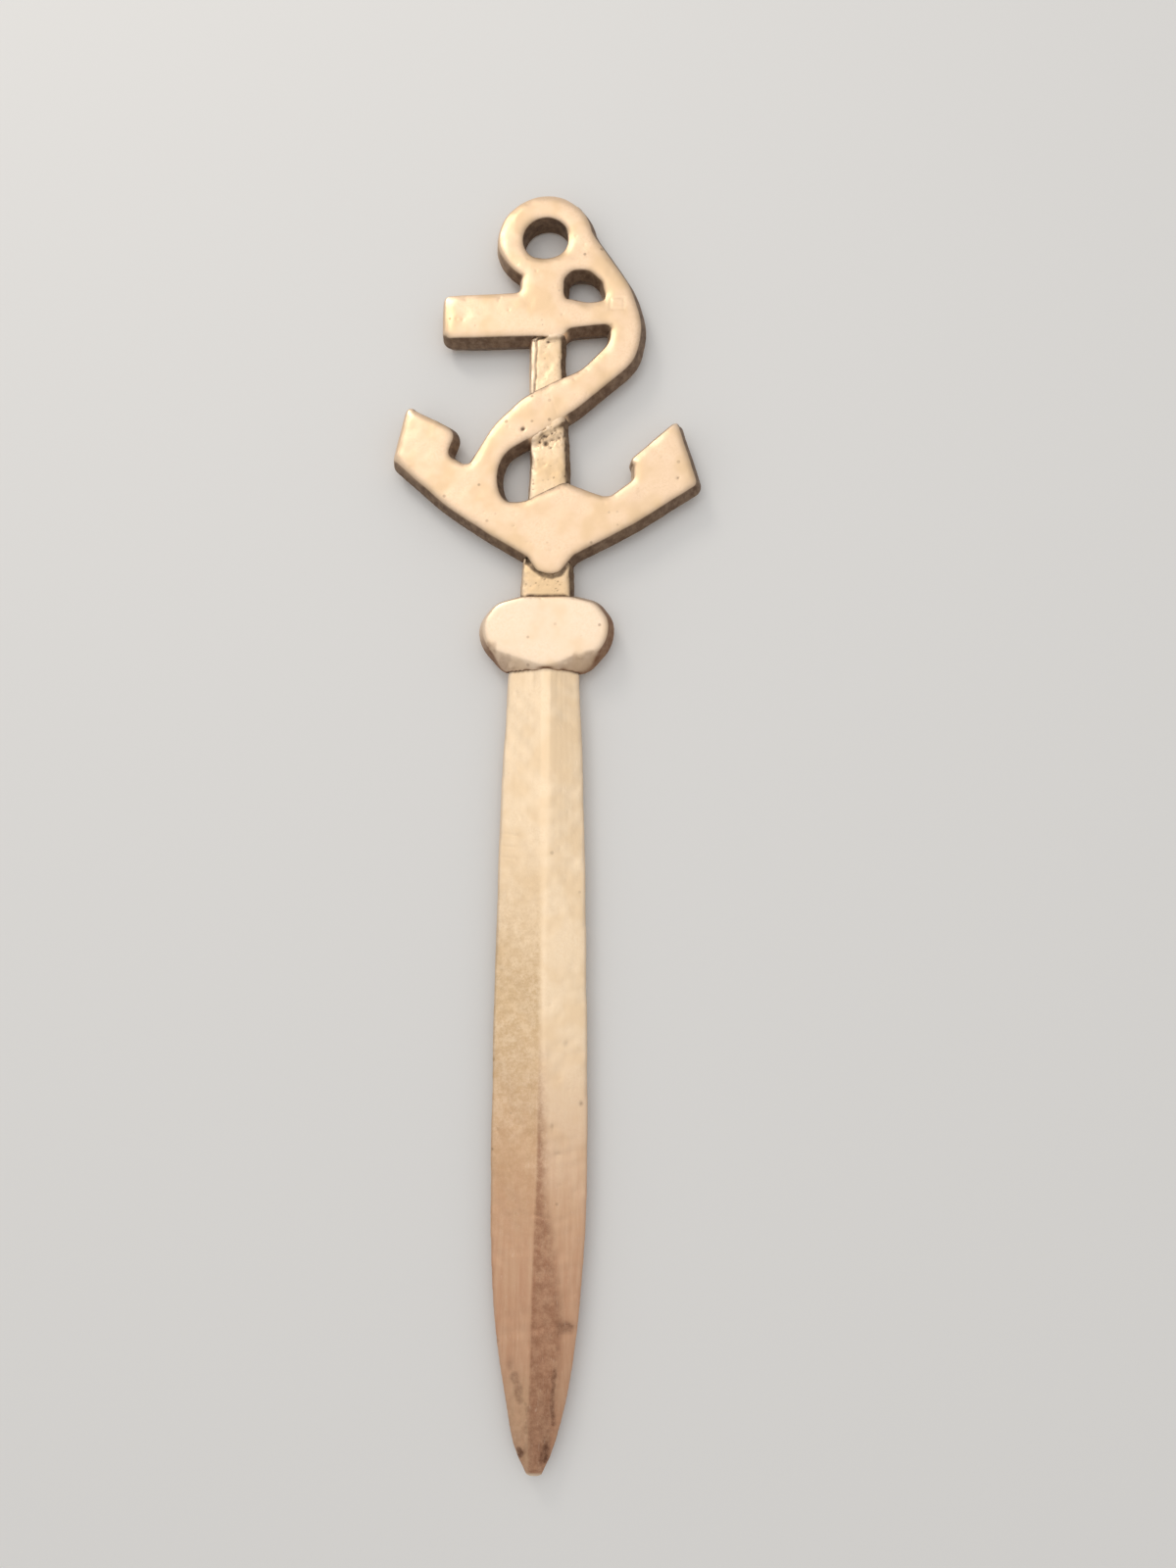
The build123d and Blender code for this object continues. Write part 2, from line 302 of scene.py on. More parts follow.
def dressed(name, mesh, node, material):
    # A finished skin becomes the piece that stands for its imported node
    mesh.transform(Matrix.Scale(mm, 4))
    mesh.materials.clear()
    mesh.materials.append(material)
    piece = bpy.data.objects.new(name, mesh)
    scene.collection.objects.link(piece)
    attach(piece, "root")
    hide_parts(node)
    print("piece", name, len(mesh.polygons), "faces")


def splitSkin(mesh, masks, owners, wanted):
    # The faces of one owner as a closed mesh that keeps the whole skin's shading
    points, normals = pointsOf(mesh), normalsOf(mesh)
    corners = np.empty(len(mesh.loops), np.int32)
    mesh.loops.foreach_get("vertex_index", corners)
    quads = corners.reshape(-1, 4)[owners == wanted]
    used, renumbered = np.unique(quads, return_inverse=True)
    part = bpy.data.meshes.new(wanted)
    part.from_pydata(points[used], [], renumbered.reshape(-1, 4).tolist())
    capped = bmesh.new()
    capped.from_mesh(part)
    rim = [edge for edge in capped.edges if edge.is_boundary]
    caps = bmesh.ops.holes_fill(capped, edges=rim, sides=0)["faces"]
    bmesh.ops.triangulate(capped, faces=caps)
    capped.to_mesh(part)
    capped.free()
    part.shade_smooth()
    writeMasks(part, {key: values[used] for key, values in masks.items()})
    keepShading(part, normals[used], len(quads))
    return part


def keepShading(part, normals, skinFaces):
    # The whole skin's normals on the part's share of it, and flat ones on its caps
    loops = np.empty(len(part.loops), np.int32)
    part.loops.foreach_get("vertex_index", loops)
    shading = normals[loops]
    capFaces = part.polygons[skinFaces:]
    for face in capFaces:
        shading[face.loop_start:face.loop_start + face.loop_total] = face.normal
    part.normals_split_custom_set(shading.tolist())


# Shader groups

def newGroup(name, inputs, outputs):
    group = bpy.data.node_groups.new(name, "ShaderNodeTree")
    for label, kind, value in inputs:
        socket = group.interface.new_socket(label, in_out="INPUT", socket_type=kind)
        if value is not None:
            socket.default_value = value
    for label, kind in outputs:
        group.interface.new_socket(label, in_out="OUTPUT", socket_type=kind)
    source = group.nodes.new("NodeGroupInput")
    result = group.nodes.new("NodeGroupOutput")
    return group, source, result


def addNode(tree, kind, settings=None, **values):
    node = tree.nodes.new(kind)
    for key, value in (settings or {}).items():
        setattr(node, key, value)
    for key, value in values.items():
        node.inputs[key.replace("_", " ")].default_value = value
    return node


def feed(tree, socket, value):
    # A number or colour is set on the socket, anything else is linked to it
    if isinstance(value, (int, float, tuple)):
        socket.default_value = value
    else:
        tree.links.new(value, socket)


def mathNode(tree, operation, first, second):
    node = addNode(tree, "ShaderNodeMath", {"operation": operation})
    feed(tree, node.inputs[0], first)
    feed(tree, node.inputs[1], second)
    return node.outputs[0]


def rangeNode(tree, value, low, high, newLow=0.0, newHigh=1.0):
    node = addNode(tree, "ShaderNodeMapRange", {"interpolation_type": "SMOOTHSTEP"},
                   From_Min=low, From_Max=high, To_Min=newLow, To_Max=newHigh)
    tree.links.new(value, node.inputs["Value"])
    return node.outputs["Result"]


def mixColour(tree, factor, first, second):
    # The numbered sockets are the factor and the two colours
    node = addNode(tree, "ShaderNodeMix", {"data_type": "RGBA"})
    for index, value in ((0, factor), (6, first), (7, second)):
        feed(tree, node.inputs[index], value)
    return node.outputs[2]


def noiseNode(tree, place, scale, detail=2.0, roughness=0.5, distortion=0.0):
    node = addNode(tree, "ShaderNodeTexNoise", None, Detail=detail, Roughness=roughness,
                   Distortion=distortion)
    tree.links.new(place, node.inputs["Vector"])
    feed(tree, node.inputs["Scale"], scale)
    return node.outputs["Fac"]


def scaled(tree, place, stretch):
    node = addNode(tree, "ShaderNodeMapping")
    node.inputs["Scale"].default_value = stretch
    tree.links.new(place, node.inputs["Vector"])
    return node.outputs["Vector"]


# Repeats in a metre, where each noise starts and is full, and how strongly each shows
tarnishNoise = {
    "broad": 170.0, "fine": 900.0, "sand": 2600.0,
    "broadRange": (0.38, 0.66), "fineRange": (0.3, 0.7), "sandRange": (0.4, 0.64),
    "sandAmount": 0.5, "edgeAmount": 0.45, "hollowUneven": (0.75, 1.15), "sideUneven": (0.88, 1.04),
}


def makeTarnish(noise):
    # Clean metal, warmer and cooler clouds, grime and painted shade in the hollows, painted shade on
    # the flanks, bright wear and painted highlights
    group, source, result = newGroup(
        "tarnish",
        [("Place", "NodeSocketVector", None), ("Clean", "NodeSocketColor", (1, 1, 1, 1)),
         ("Cloud", "NodeSocketColor", (1, 1, 1, 1)), ("Grime", "NodeSocketColor", (0, 0, 0, 1)),
         ("Worn", "NodeSocketColor", (1, 1, 1, 1)), ("Hollow", "NodeSocketFloat", 0.0),
         # Side brings the painted shade on the flanks, and Edge the wear with its painted highlights
         ("Edge", "NodeSocketFloat", 0.0), ("Side", "NodeSocketFloat", 0.0),
         ("Cloudiness", "NodeSocketFloat", 0.5), ("Side Dark", "NodeSocketFloat", 0.6)],
        [("Color", "NodeSocketColor"), ("Dark", "NodeSocketFloat")])
    place = source.outputs["Place"]
    broad = noiseNode(group, place, noise["broad"], 3.0, 0.55)
    fine = noiseNode(group, place, noise["fine"], 4.0, 0.65)
    sand = noiseNode(group, place, noise["sand"], 3.0, 0.7)
    sandy = rangeNode(group, sand, *noise["sandRange"], 0.0, noise["sandAmount"])
    cloudy = mathNode(group, "MAXIMUM", rangeNode(group, broad, *noise["broadRange"]), sandy)
    cloud = mathNode(group, "MULTIPLY", cloudy, source.outputs["Cloudiness"])
    tone = mixColour(group, cloud, source.outputs["Clean"], source.outputs["Cloud"])
    edge = mathNode(group, "MULTIPLY", source.outputs["Edge"], noise["edgeAmount"])
    tone = mixColour(group, edge, tone, source.outputs["Worn"])
    uneven = rangeNode(group, fine, *noise["fineRange"], *noise["hollowUneven"])
    hollow = mathNode(group, "MULTIPLY", source.outputs["Hollow"], uneven)
    # Patchy painted shade on the flanks
    patchy = rangeNode(group, fine, *noise["fineRange"], *noise["sideUneven"])
    side = mathNode(group, "MULTIPLY", source.outputs["Side"], patchy)
    side = mathNode(group, "MULTIPLY", side, source.outputs["Side Dark"])
    dark = mathNode(group, "MINIMUM", mathNode(group, "MAXIMUM", hollow, side), 1.0)
    colour = mixColour(group, dark, tone, source.outputs["Grime"])
    group.links.new(colour, result.inputs["Color"])
    group.links.new(dark, result.inputs["Dark"])
    return group


# A dot's edge and core, as shares of a cell, and how much the faintest one shows
speckShape = {"edge": 0.28, "core": 0.12, "faintest": 0.35}


def makeSpecks(shape):
    # Pin holes and dark dots, few and unevenly spread
    group, source, result = newGroup(
        "specks",
        [("Place", "NodeSocketVector", None), ("Scale", "NodeSocketFloat", 900.0),
         ("Amount", "NodeSocketFloat", 0.2)],
        [("Mask", "NodeSocketFloat")])
    cells = addNode(group, "ShaderNodeTexVoronoi", {"feature": "F1"}, Randomness=1.0)
    group.links.new(source.outputs["Place"], cells.inputs["Vector"])
    group.links.new(source.outputs["Scale"], cells.inputs["Scale"])
    dots = rangeNode(group, cells.outputs["Distance"], shape["edge"], shape["core"])
    parts = group.nodes.new("ShaderNodeSeparateColor")
    group.links.new(cells.outputs["Color"], parts.inputs["Color"])
    chosen = mathNode(group, "LESS_THAN", parts.outputs["Red"], source.outputs["Amount"])
    faint = rangeNode(group, parts.outputs["Green"], 0.0, 1.0, shape["faintest"], 1.0)
    mask = mathNode(group, "MULTIPLY", mathNode(group, "MULTIPLY", dots, chosen), faint)
    group.links.new(mask, result.inputs["Mask"])
    return group


# The lazier unevenness has fewer repeats than the grain
grainMix = {"lazyScale": 0.28, "fineShare": 0.6, "lazyShare": 0.4}


def makeGrain(mix):
    # Fine cast grain with a lazier unevenness under it
    group, source, result = newGroup(
        "castGrain",
        [("Place", "NodeSocketVector", None), ("Scale", "NodeSocketFloat", 2200.0)],
        [("Height", "NodeSocketFloat")])
    lazyScale = mathNode(group, "MULTIPLY", source.outputs["Scale"], mix["lazyScale"])
    fine = noiseNode(group, source.outputs["Place"], source.outputs["Scale"], 4.0, 0.6)
    lazy = noiseNode(group, source.outputs["Place"], lazyScale, 2.0, 0.5)
    height = mathNode(group, "ADD", mathNode(group, "MULTIPLY", fine, mix["fineShare"]),
                      mathNode(group, "MULTIPLY", lazy, mix["lazyShare"]))
    group.links.new(height, result.inputs["Height"])
    return group


# Where a hair line and its unbroken stretches start and are full, and how long the stretches are
scratchShape = {"line": (0.62, 0.7), "unbroken": (0.42, 0.6), "unbrokenStretch": (0.13, 0.5, 0.13)}


def makeScratches(shape):
    # Hair lines along one axis of the place it is given
    group, source, result = newGroup(
        "scratches",
        [("Place", "NodeSocketVector", None), ("Amount", "NodeSocketFloat", 0.5)],
        [("Mask", "NodeSocketFloat")])
    lines = noiseNode(group, source.outputs["Place"], 1.0, 2.0, 0.6, 0.15)
    narrow = rangeNode(group, lines, *shape["line"])
    stretches = scaled(group, source.outputs["Place"], shape["unbrokenStretch"])
    breaks = noiseNode(group, stretches, 1.0)
    broken = mathNode(group, "MULTIPLY", narrow, rangeNode(group, breaks, *shape["unbroken"]))
    mask = mathNode(group, "MULTIPLY", broken, source.outputs["Amount"])
    group.links.new(mask, result.inputs["Mask"])
    return group


tarnish = makeTarnish(tarnishNoise)
specks = makeSpecks(speckShape)
castGrain = makeGrain(grainMix)
scratches = makeScratches(scratchShape)


def groupNode(tree, group, links=None, **values):
    node = addNode(tree, "ShaderNodeGroup", {"node_tree": group}, **values)
    for label, socket in (links or {}).items():
        tree.links.new(socket, node.inputs[label])
    return node


def srgb(red, green, blue):
    # A colour as read off a screen, 0 to 255
    def linear(value):
        value /= 255
        return value / 12.92 if value <= 0.04045 else ((value + 0.055) / 1.055) ** 2.4
    return (linear(red), linear(green), linear(blue), 1)


def startBrass(name):
    material = bpy.data.materials.new(name)
    material.use_nodes = True
    tree = material.node_tree
    shader = tree.nodes["Principled BSDF"]
    place = tree.nodes.new("ShaderNodeTexCoord").outputs["Object"]
    masks = {}
    for mask in ("grimeAndShade", "wearAndHighlight", "side"):
        reader = addNode(tree, "ShaderNodeAttribute", {"attribute_name": mask})
        masks[mask] = reader.outputs["Fac"]
    return material, tree, shader, place, masks


def brass(name, look):
    # Satin aged brass whose clouds, dots, hair lines and grain come from the look's values
    material, tree, shader, place, masks = startBrass(name)
    tone = groupNode(tree, tarnish,
                     {"Place": place, "Hollow": masks["grimeAndShade"], "Edge": masks["wearAndHighlight"],
                      "Side": masks["side"]},
                     Clean=look["clean"], Cloud=look["cloud"], Grime=look["grimeAndShade"],
                     Worn=look["wornAndLit"], Cloudiness=look["cloudiness"],
                     Side_Dark=look["sideDark"])
    colour = tone.outputs["Color"]
    if "stains" in look:
        colour = bladeStains(tree, place, colour, look)
    dots = groupNode(tree, specks, {"Place": place}, Scale=look["dotScale"],
                     Amount=look["dotAmount"]).outputs["Mask"]
    colour = mixColour(tree, mathNode(tree, "MULTIPLY", dots, look["dotDark"]), colour,
                       look["grimeAndShade"])
    hair = groupNode(tree, scratches, {"Place": scaled(tree, place, look["hairStretch"])},
                     Amount=look["hair"]).outputs["Mask"]
    colour = mixColour(tree, mathNode(tree, "MULTIPLY", hair, look["hairBright"]), colour,
                       look["wornAndLit"])
    tree.links.new(colour, shader.inputs["Base Color"])
    # Dirt and painted shade are rougher and less metallic, worn metal is smoother
    matt = mathNode(tree, "MULTIPLY", tone.outputs["Dark"], look["dirtRough"])
    sleek = mathNode(tree, "MULTIPLY", masks["wearAndHighlight"], look["wearSmooth"])
    rough = mathNode(tree, "ADD", matt, look["roughness"])
    rough = mathNode(tree, "SUBTRACT", rough, sleek)
    tree.links.new(rough, shader.inputs["Roughness"])
    metal = rangeNode(tree, tone.outputs["Dark"], 0.0, 1.0, 1.0, look["dirtMetal"])
    tree.links.new(metal, shader.inputs["Metallic"])
    grain = groupNode(tree, castGrain, {"Place": place}, Scale=look["grainScale"])
    sunk = mathNode(tree, "MULTIPLY", mathNode(tree, "ADD", dots, hair), look["sunk"])
    height = mathNode(tree, "SUBTRACT", grain.outputs["Height"], sunk)
    bump = addNode(tree, "ShaderNodeBump", None, Strength=look["bump"],
                   Distance=look["bumpDepth"] * mm)
    tree.links.new(height, bump.inputs["Height"])
    tree.links.new(bump.outputs["Normal"], shader.inputs["Normal"])
    return material


def bladeStains(tree, place, colour, look):
    # Each stain lies where its mask says, mottled or streaked along the blade
    mottle = noiseNode(tree, place, look["mottleScale"], 6.0, 0.8)
    streaks = noiseNode(tree, scaled(tree, place, look["streakStretch"]), 1.0, 4.0, 0.65)
    patterns = {
        "mottled": rangeNode(tree, mottle, *look["mottleRange"], look["mottleLeast"], 1.0),
        "streaked": rangeNode(tree, streaks, *look["streakRange"], look["streakLeast"], 1.0),
    }
    for mask, (tone, pattern) in look["stains"].items():
        reader = addNode(tree, "ShaderNodeAttribute", {"attribute_name": mask})
        amount = mathNode(tree, "MULTIPLY", reader.outputs["Fac"], patterns[pattern])
        colour = mixColour(tree, amount, colour, tone)
    return colour


# Scales and stretches are repeats in a metre, and the bump's depth is in millimetres
castLook = {
    # The grime colour also paints shade in hollows and on the flanks, and the worn colour paints
    # highlights
    "clean": srgb(251, 220, 188), "cloud": srgb(232, 199, 156), "grimeAndShade": srgb(78, 52, 36),
    "wornAndLit": srgb(254, 232, 210), "cloudiness": 0.7, "sideDark": 0.9,
    "dotScale": 700.0, "dotAmount": 0.09, "dotDark": 0.45,
    "hair": 0.25, "hairBright": 0.35, "hairStretch": (5000, 700, 5000),
    "roughness": 0.42, "dirtRough": 0.2, "wearSmooth": 0.08, "dirtMetal": 0.55,
    "grainScale": 2400.0, "bump": 0.35, "bumpDepth": 0.06, "sunk": 0.8,
}
shankLook = {
    **castLook, "clean": srgb(253, 224, 188), "cloud": srgb(232, 199, 154), "cloudiness": 0.75,
    "dotScale": 1100.0, "dotAmount": 0.25, "roughness": 0.48, "bump": 0.9,
}
bladeLook = {
    **castLook, "clean": srgb(254, 229, 196), "cloud": srgb(242, 211, 170), "cloudiness": 0.6,
    "dotAmount": 0.04, "hair": 0.5, "sideDark": 0.25,
    "mottleScale": 650.0, "mottleRange": (0.32, 0.66), "mottleLeast": 0.4,
    "streakStretch": (1400, 130, 1400), "streakRange": (0.3, 0.7), "streakLeast": 0.78,
    # Each stain's mask, its tone and its pattern, in the order that they are laid on
    "stains": {
        "patina": (srgb(204, 170, 126), "mottled"),
        # Brown towards the point, partly bloom and partly painted shade where the light falls off
        "bloomAndShade": (srgb(208, 158, 126), "streaked"),
        "dull": (srgb(158, 112, 86), "mottled"),
        "stain": (srgb(88, 52, 40), "mottled"),
        "rim": (srgb(240, 222, 196), "streaked"),
    },
}
collarLook = {
    **castLook, "clean": srgb(254, 229, 202), "cloud": srgb(243, 213, 176),
    "grimeAndShade": srgb(110, 66, 34),
}
castBrass = brass("castBrass", castLook)
collarBrass = brass("collarBrass", collarLook)
recessedBrass = brass("recessedBrass", shankLook)
bladeBrass = brass("bladeBrass", bladeLook)
print("materials ready")


# Head: ring, stock, rope and arms have no visible seams, so one skin is made and then shared out
headCast = {
    "voxel": 0.18, "rounds": 6, "edgeRounds": 64, "upright": 0.35,
    # The shank is filled in from just below the arms to just short of its own head
    "coreInset": 0.3, "coreBelow": 0.6, "coreShort": 0.6,
    "unevenness": [(9.0, 0.045, 3), (2.6, 0.014, 4)], "cover": 0.03,
    "cornerReach": 0.6, "hollowGrime": (0.04, 0.16),
    "pinHoles": {"box": ((-25, 8), (18, 80)), "count": 160, "radii": (0.12, 0.3),
                 "depths": (0.02, 0.06), "seed": 5},
    # Dents: x, y, radius, depth
    "marks": [(-4.3, 35.3, 0.45, 0.17), (21.4, 26.3, 0.28, 0.12), (-14.9, 55.4, 0.3, 0.05),
              (-5.5, 18.3, 0.25, 0.08), (2.0, 56.0, 0.2, 0.07)],
    # Grooves: depth, width, line. The square is the stock's end in the rope, then two hair lines
    "grooves": [
        (0.035, 0.35, [(10.1, 56.8), (12.4, 56.8), (12.4, 58.9), (10.2, 58.9), (10.1, 56.8)]),
        (0.02, 0.25, [(0.1, 41.4), (0.7, 39.9), (1.3, 37.9)]),
        (0.02, 0.25, [(1.9, 25.0), (2.5, 24.2), (2.6, 23.3)]),
    ],
    # Where the cast runs smoothly down onto the shank: strength, width, line, and from how far
    # below the face that is full
    "flow": [(0.85, 1.3, [(-0.2, 52.0), (2.3, 52.3)]), (0.75, 1.1, [(-2.8, 34.1), (2.6, 37.1)])],
    "flowDepth": 1,
}


def makeHead(cast, shankTree):
    nodes = ("ring", "stock", "rope", "arms")
    whole = nodeCopy(*nodes)
    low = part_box("arms")[0].y / mm - cast["coreBelow"]
    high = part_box("shank")[1].y / mm - cast["coreShort"]
    whole.from_mesh(coreOf("shank", low, high, cast["coreInset"]))
    skin = skinOf(whole, cast["voxel"])
    whole.free()
    soften(skin, cast["rounds"], cast["edgeRounds"])
    squareUp(skin, cast["upright"])
    points, normals = pointsOf(skin), normalsOf(skin)
    front = onFront(normals)
    hollows = pits(points, cast["marks"] + scatter(**cast["pinHoles"]))
    height = (unevenness(points, cast["unevenness"], cast["cover"])
              - front * (hollows + nearLines(points, cast["grooves"])))
    setPoints(skin, points + normals * height[:, None])
    masks = surfaceMasks(skin, ageing)
    # Grime and painted shade where the cast meets the shank
    addGrimeAndShade(masks, cornerGrimeAndShade(pointsOf(skin), shankTree, cast["cornerReach"]))
    addGrimeAndShade(masks, front * step(hollows, *cast["hollowGrime"]))
    flowFull = plateThickness - cast["flowDepth"]
    flow = 1 - nearLines(points, cast["flow"]) * step(points[:, 2], midHeight, flowFull)
    masks["grimeAndShade"] *= flow
    masks["side"] *= flow
    # Each face of the skin goes to the node that it lies on, and those on the shank go to none
    trees = {name: treeOf(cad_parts[name].data) for name in nodes + ("shank",)}
    centres = np.empty(len(skin.polygons) * 3, np.float32)
    skin.polygons.foreach_get("center", centres)
    owners = np.array([nearestOf(trees, Vector(centre) * mm)
                       for centre in centres.reshape(-1, 3)])
    for node in nodes:
        part = splitSkin(skin, masks, owners, node)
        dressed("cast" + node.capitalize(), part, node, castBrass)
    bpy.data.meshes.remove(skin)


def nearestOf(trees, point):
    return min(trees, key=lambda name: trees[name].find_nearest(point)[3])


# Shank, with a crack round the upper left corner of its face, beside the cast
shankCrack = [(-0.5, 52.3), (-2.0, 52.2), (-2.45, 51.6), (-2.25, 50.0), (-2.5, 47.0),
              (-2.4, 45.2), (-2.7, 42.0)]
shankBar = {
    "voxel": 0.17, "rounds": 3, "edgeRounds": 56, "upright": 0.45,
    "unevenness": [(6.0, 0.045, 11), (1.5, 0.03, 12)], "cover": 0.03,
    "groove": [(0.14, 0.3, shankCrack)],
    # Punched hollows just below the rope, then cast ones below the crown and above it
    "punched": {"box": ((-2.6, 32.2), (2.7, 36.4)), "count": 110, "radii": (0.12, 0.26),
                "depths": (0.03, 0.11), "seed": 13},
    "castLow": {"box": ((-3.6, 6.5), (3.6, 11.5)), "count": 150, "radii": (0.09, 0.16),
                "depths": (0.02, 0.07), "seed": 14},
    "castHigh": {"box": ((-3, 25), (3, 52)), "count": 70, "radii": (0.12, 0.25),
                 "depths": (0.02, 0.06), "seed": 15},
    "hollowDirt": 0.65, "hollowDepths": (0.07, 0.2), "castDirt": 0.5, "castDepths": (0.03, 0.08),
    # Where the left flank, turned towards the light, gets a painted highlight: slope, place along the
    # shank, height
    "litFlank": {"slope": (0.05, 0.35), "along": (17, 19), "height": (1, 2.5)},
    # Dents: x, y, radius, depth
    "marks": [(-0.5, 33.0, 0.42, 0.3), (0.6, 33.6, 0.25, 0.14), (-1.6, 33.3, 0.28, 0.14),
              (1.8, 34.0, 0.22, 0.12), (1.7, 48.6, 0.16, 0.1), (1.5, 47.2, 0.16, 0.09),
              # The last, large dent darkens the corner under the crown with dirt and painted shade
              (2.1, 43.9, 0.3, 0.12), (1.2, 43.6, 0.25, 0.1), (-3.3, 12.9, 0.8, 0.6)],
    # Dirt in the crack, and dirt with painted shade beside the raised cast: strength, width, line
    "dirtAndShade": [
        (0.6, 0.24, shankCrack),
        (0.7, 0.5, [(-3.1, 41.6), (2.9, 44.7)]),
        (0.5, 0.5, [(-3.3, 22.8), (3.0, 25.8)]),
        (0.75, 0.55, [(-3.5, 12.6), (-2.0, 11.0), (-0.7, 10.0), (0.8, 9.7), (2.2, 10.1), (3.4, 11.8)]),
        (0.3, 0.9, [(-2.4, 33.1), (2.4, 34.6)]),
    ],
    # The front rises towards the cast: rise, reach, line
    "ramps": [(0.55, 1.4, [(0.1, 52.6), (2.6, 52.8)]), (0.5, 1.3, [(-2.6, 34.5), (2.8, 37.5)])],
}


def makeShank(bar):
    whole = nodeCopy("shank")
    skin = skinOf(whole, bar["voxel"])
    whole.free()
    soften(skin, bar["rounds"], bar["edgeRounds"])
    squareUp(skin, bar["upright"])
    points, normals = pointsOf(skin), normalsOf(skin)
    front = onFront(normals)
    punched = scatter(**bar["punched"])
    cast = scatter(**bar["castLow"]) + scatter(**bar["castHigh"])
    hollows = pits(points, bar["marks"] + punched + cast)
    height = (unevenness(points, bar["unevenness"], bar["cover"])
              + front * (nearLines(points, bar["ramps"]) - hollows
                         - nearLines(points, bar["groove"])))
    setPoints(skin, points + normals * height[:, None])
    dirtAndShade = np.maximum(nearLines(points, bar["dirtAndShade"]),
                      bar["hollowDirt"] * step(hollows, *bar["hollowDepths"]))
    dirtAndShade = np.maximum(dirtAndShade, bar["castDirt"] * step(pits(points, cast), *bar["castDepths"]))
    where = bar["litFlank"]
    litFlank = (step(-normals[:, 0], *where["slope"]) * step(points[:, 1], *where["along"])
              * step(points[:, 2], *where["height"]))
    return skin, front * dirtAndShade, litFlank


# Collar
collarKnob = {
    "voxel": 0.17, "rounds": 8, "edgeRounds": 60,
    # Its seats are filled by the shank and the blade, cut a little past its outline, while
    # the blade's own top end, which lies inside, stays whole
    "shankInset": 0.3, "bladeInset": 0.55, "corePast": 0.2, "coreAbove": 1,
    "unevenness": [(8.0, 0.035, 21)], "cover": 0.03, "hollowGrime": (0.04, 0.16),
    "pinHoles": {"box": ((-10, -5), (10, 6)), "count": 30, "radii": (0.12, 0.25),
                 "depths": (0.02, 0.05), "seed": 22},
    # Dirt and painted shade on the lower filed corners: strength, width, line, and how its edges
    # wander
    "dirtAndShade": [(0.46, 1.9, [(-9.6, -2.6), (-8.2, -4.0), (-6.3, -5.3), (-4.0, -6.3)]),
             (0.36, 1.6, [(1.5, -5.9), (4.2, -5.0), (7.0, -4.0)]),
             (0.45, 0.5, [(2.2, -4.9), (3.6, -4.5), (5.8, -3.9)])],
    "wander": {"reach": 0.25, "length": 1.8, "seed": 23},
}


def makeCollar(knob):
    whole = nodeCopy("collar")
    low, high = (corner.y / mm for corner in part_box("collar"))
    shankFoot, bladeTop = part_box("shank")[0].y / mm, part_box("blade")[1].y / mm
    whole.from_mesh(coreOf("shank", shankFoot, high + knob["corePast"], knob["shankInset"]))
    whole.from_mesh(coreOf("blade", low - knob["corePast"], bladeTop + knob["coreAbove"],
                           knob["bladeInset"]))
    skin = skinOf(whole, knob["voxel"])
    whole.free()
    soften(skin, knob["rounds"], knob["edgeRounds"])
    points, normals = pointsOf(skin), normalsOf(skin)
    hollows = pits(points, scatter(**knob["pinHoles"]))
    height = unevenness(points, knob["unevenness"], knob["cover"]) - hollows
    setPoints(skin, points + normals * height[:, None])
    dirtAndShade = onFront(normals) * nearLines(wandering(points, knob["wander"]), knob["dirtAndShade"])
    return skin, np.maximum(dirtAndShade, step(hollows, *knob["hollowGrime"]))


